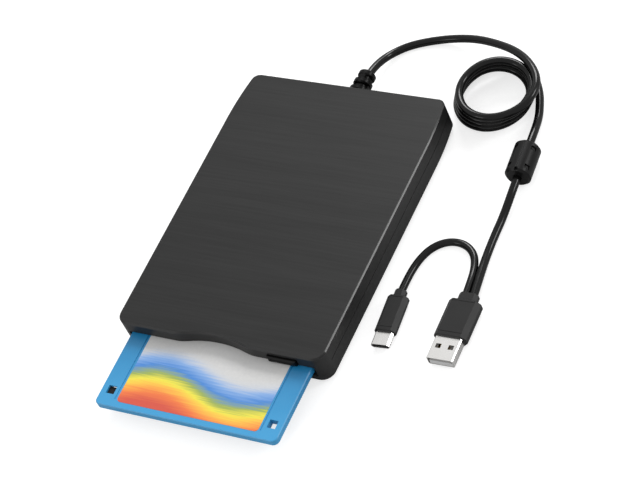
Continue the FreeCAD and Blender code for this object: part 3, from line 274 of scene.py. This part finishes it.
def label_paper():
    """Pale coated paper with a broad wave of coloured bands along its outer end."""
    finish = Finish("label_paper", rgb(205, 206, 208), 0.45)
    across = finish.axis("X")
    inward = finish.axis("Y") + LABEL_OUTER_END
    brush = finish.noise(finish.stretched(55, 1400, 1), 1.0, 4.0)
    swell = (across * 95.0).math("SINE") * 0.0034
    height = inward + swell + across * 0.07 + (brush - 0.5) * 0.006
    colors = finish.node("ShaderNodeValToRGB", {"stops": [
        (0.0, rgb(200, 58, 24)), (0.16, rgb(226, 104, 22)), (0.3, rgb(238, 168, 36)),
        (0.42, rgb(226, 214, 40)), (0.54, rgb(140, 160, 60)), (0.68, rgb(34, 118, 196)),
        (0.84, rgb(120, 160, 212)),
        (1.0, rgb(178, 190, 208))]}, (height + 0.0015) / 0.0265)
    ink = 1 - height.between(0.0195, 0.0275)
    fibre = finish.grain(900, 2.0)
    paper = finish.blend(fibre, rgb(190, 190, 190), rgb(202, 202, 201))
    finish.set(**{"Base Color": finish.blend(ink * 0.94, paper, colors)})
    finish.set(Roughness=0.42 + fibre * 0.1)
    finish.bump(fibre, 0.000006, 0.4)
    return finish.material


def cable_jacket():
    """Black jacket with a soft shine and slight scuffs along it."""
    finish = Finish("cable_jacket", rgb(16, 16, 16), 0.3)
    finish.set(**{"Specular IOR Level": 0.08, "Coat Weight": 0.35, "Coat Roughness": 0.12})
    scuff = finish.grain(140, 3.0)
    finish.set(**{"Base Color": finish.blend(scuff, rgb(5, 5, 5), rgb(11, 11, 11))})
    finish.set(Roughness=0.24 + scuff * 0.1)
    finish.bump(finish.grain(1500, 2.0), 0.00001, 0.4)
    return finish.material


FINISHES = {
    "case_plastic": case_plastic(),
    "button_plastic": black_plastic("button_plastic", 9, 0.4, shine=0.12),
    "foot_rubber": black_plastic("foot_rubber", 32, 0.8, 0.00003),
    "tab_plastic": black_plastic("tab_plastic", 14, 0.5),
    "boot_rubber": black_plastic("boot_rubber", 5, 0.3, 0.000004, 0.12),
    "cable_jacket": cable_jacket(),
    "ferrite_plastic": black_plastic("ferrite_plastic", 16, 0.34, shine=0.16),
    "plug_plastic": black_plastic("plug_plastic", 24, 0.42),
    "tongue_plastic": black_plastic("tongue_plastic", 200, 0.5),
    "inner_plastic": black_plastic("inner_plastic", 60, 0.5),
    "chip_plastic": black_plastic("chip_plastic", 28, 0.55),
    "disk_plastic": disk_plastic(),
    "label_paper": label_paper(),
    "plug_nickel": metal("plug_nickel", rgb(228, 227, 225), 0.26, (900, 30, 900)),
    "shutter_steel": metal("shutter_steel", rgb(205, 206, 208), 0.3),
    "frame_steel": metal("frame_steel", rgb(190, 192, 194), 0.35),
    "screw_steel": metal("screw_steel", rgb(170, 170, 170), 0.35, (300, 300, 300)),
    "spring_steel": metal("spring_steel", rgb(200, 200, 200), 0.25, (300, 300, 300)),
    "bearing_brass": metal("bearing_brass", rgb(210, 175, 95), 0.3, (300, 300, 300)),
    "contact_gold": metal("contact_gold", rgb(235, 200, 120), 0.2, (300, 300, 300)),
    "coil_copper": metal("coil_copper", rgb(190, 105, 60), 0.35, (200, 200, 2500)),
    "circuit_board": plain("circuit_board", rgb(28, 92, 52), 0.35, 500),
    "head_ceramic": plain("head_ceramic", rgb(150, 145, 138), 0.3),
    "ferrite_ceramic": plain("ferrite_ceramic", rgb(58, 58, 60), 0.6),
    "socket_plastic": plain("socket_plastic", rgb(222, 218, 205), 0.5),
    "wire_plastic": plain("wire_plastic", rgb(165, 40, 34), 0.4),
    "media_film": plain("media_film", rgb(62, 46, 36), 0.2, 40),
    "liner_fabric": plain("liner_fabric", rgb(228, 228, 224), 0.9, 700, 0.1, 0.00005),
}


def finish_nodes():
    """Each CAD node takes the finish of its own material slot."""
    for entry in frame["record"]["subparts"]:
        node = frame["nodes"][entry["node"]]
        node.data.materials.clear()
        node.data.materials.append(FINISHES[entry["material_slot"]])


# Cords

def smooth(share):
    share = min(max(share, 0.0), 1.0)
    return share * share * (3 - 2 * share)


def coil_points():
    """Control points of the coil's loose turns, from the top down to the floor."""
    count = round((COIL_START - COIL_END) / 360 * COIL_STEPS)
    high, low = COIL_CENTRES
    points = []
    for index in range(count + 1):
        angle = COIL_START + (COIL_END - COIL_START) * index / count
        fall = sum(smooth((COIL_FALL - 360 * turn - angle) / COIL_FALL_SPAN) for turn in range(COIL_FALLS))
        centre = high.lerp(low, fall / COIL_FALLS)
        turn = round((COIL_CROWDED - angle) / 360)
        apart = abs(COIL_CROWDED - 360 * turn - angle)
        radius = COIL_RADII[0] + (COIL_RADII[1] - COIL_RADII[0]) * fall / COIL_FALLS
        radius -= COIL_DRAWN_IN[turn] * smooth(1 - apart / COIL_CROWDED_SPAN)
        reach = radius / math.cos(math.pi / COIL_STEPS)
        around = math.radians(angle)
        points.append(centre + Vector((math.cos(around), math.sin(around), 0)) * reach)
    return points


def cord_curve(name, points, radius):
    curve = bpy.data.curves.new(name, "CURVE")
    curve.dimensions = "3D"
    curve.resolution_u = 10
    curve.bevel_depth = radius
    curve.bevel_resolution = 5
    curve.use_fill_caps = True
    spline = curve.splines.new("NURBS")
    spline.points.add(len(points) - 1)
    for control, place in zip(spline.points, points):
        control.co = (*place, 1.0)
    spline.order_u = 3
    spline.use_endpoint_u = True
    piece = bpy.data.objects.new(name, curve)
    scene.collection.objects.link(piece)
    curve.materials.append(FINISHES["cable_jacket"])
    return piece


def metres(route):
    return [CASE_MIDDLE + Vector(place) * MM for place in route]


def curve_length(piece):
    """Length of a cord's own line, read from its spline."""
    bare = piece.data.copy()
    bare.bevel_depth = 0
    line = bpy.data.objects.new("line", bare)
    scene.collection.objects.link(line)
    mesh = bpy.data.meshes.new_from_object(line.evaluated_get(bpy.context.evaluated_depsgraph_get()))
    places = [vertex.co for vertex in mesh.vertices]
    bpy.data.objects.remove(line)
    bpy.data.meshes.remove(mesh)
    bpy.data.curves.remove(bare)
    return sum((b - a).length for a, b in zip(places, places[1:]))


def main_cable():
    points = metres(LEAD_ROUTE + coil_points() + TAIL_ROUTE)
    cable = cord_curve("main_cable", points, CABLE_RADIUS)
    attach(cable, "drive")
    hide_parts("cable_lead", "cable_coil", "cable_tail")
    curve_length(cable)
    return cable


def pigtail():
    points = metres(PIGTAIL_ROUTE)
    cord = cord_curve("pigtail_cable", points, PIGTAIL_RADIUS)
    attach(cord, "drive")
    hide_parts("pigtail")
    curve_length(cord)
    return cord


# Studio

CAMERA_PLACE = Vector((551.36, -518.48, 824.13)) * MM
CAMERA_AIM = Vector((12.90, 10.28, 0.0)) * MM
CAMERA_ROLL = math.radians(-27.094)
CAMERA_LENS = 144.21


def camera():
    lens = bpy.data.cameras.new("camera")
    lens.lens = CAMERA_LENS
    lens.sensor_width = 36.0
    lens.clip_start = 0.05
    lens.clip_end = 20.0
    eye = bpy.data.objects.new("camera", lens)
    scene.collection.objects.link(eye)
    look = (CAMERA_AIM - CAMERA_PLACE).to_track_quat("-Z", "Y").to_matrix().to_4x4()
    eye.matrix_world = Matrix.Translation(CAMERA_PLACE) @ look @ Matrix.Rotation(CAMERA_ROLL, 4, "Z")
    scene.camera = eye


def floor():
    mesh = bmesh.new()
    bmesh.ops.create_grid(mesh, x_segments=1, y_segments=1, size=3.0)
    data = bpy.data.meshes.new("floor")
    mesh.to_mesh(data)
    mesh.free()
    plane = bpy.data.objects.new("floor", data)
    scene.collection.objects.link(plane)
    finish = Finish("floor_white", (0.5, 0.5, 0.5), 0.9)
    finish.set(**{"Specular IOR Level": 0.0})
    seen = finish.node("ShaderNodeLightPath", out="Is Camera Ray")
    glow = finish.node("ShaderNodeEmission", None, Color=(1.0, 1.0, 1.0), Strength=0.68)
    surface = Value(finish, finish.surface.outputs[0])
    both = finish.node("ShaderNodeAddShader", None, surface, glow)
    mixed = finish.node("ShaderNodeMixShader", None, seen, surface, both)
    output = finish.tree.nodes["Material Output"]
    finish.tree.links.new(mixed.socket, output.inputs["Surface"])
    data.materials.append(finish.material)


def lamp(name, place, aim, size, watts):
    data = bpy.data.lights.new(name, "AREA")
    data.shape = "RECTANGLE"
    data.size = size[0]
    data.size_y = size[1]
    data.energy = watts
    light = bpy.data.objects.new(name, data)
    scene.collection.objects.link(light)
    direction = Vector(aim) - Vector(place)
    light.location = place
    light.rotation_euler = direction.to_track_quat("-Z", "Y").to_euler()
    return light


def world():
    sky = bpy.data.worlds.new("studio")
    scene.world = sky
    sky.use_nodes = True
    background = sky.node_tree.nodes["Background"]
    background.inputs["Color"].default_value = (1.0, 1.0, 1.0, 1.0)
    background.inputs["Strength"].default_value = 0.8


def studio():
    scene.view_settings.view_transform = "Standard"
    world()
    floor()
    lamp("front", (-0.75, -1.1, 0.75), (0, 0, 0), (0.5, 0.5), 2.5)
    lamp("rear", (-0.2, 1.25, 0.95), (0, 0, 0), (0.7, 0.5), 14.0)
    lamp("side", (1.1, 0.72, 0.72), (0, 0, 0), (0.4, 0.4), 5.5)
    camera()


finish_nodes()
main_cable()
pigtail()
studio()
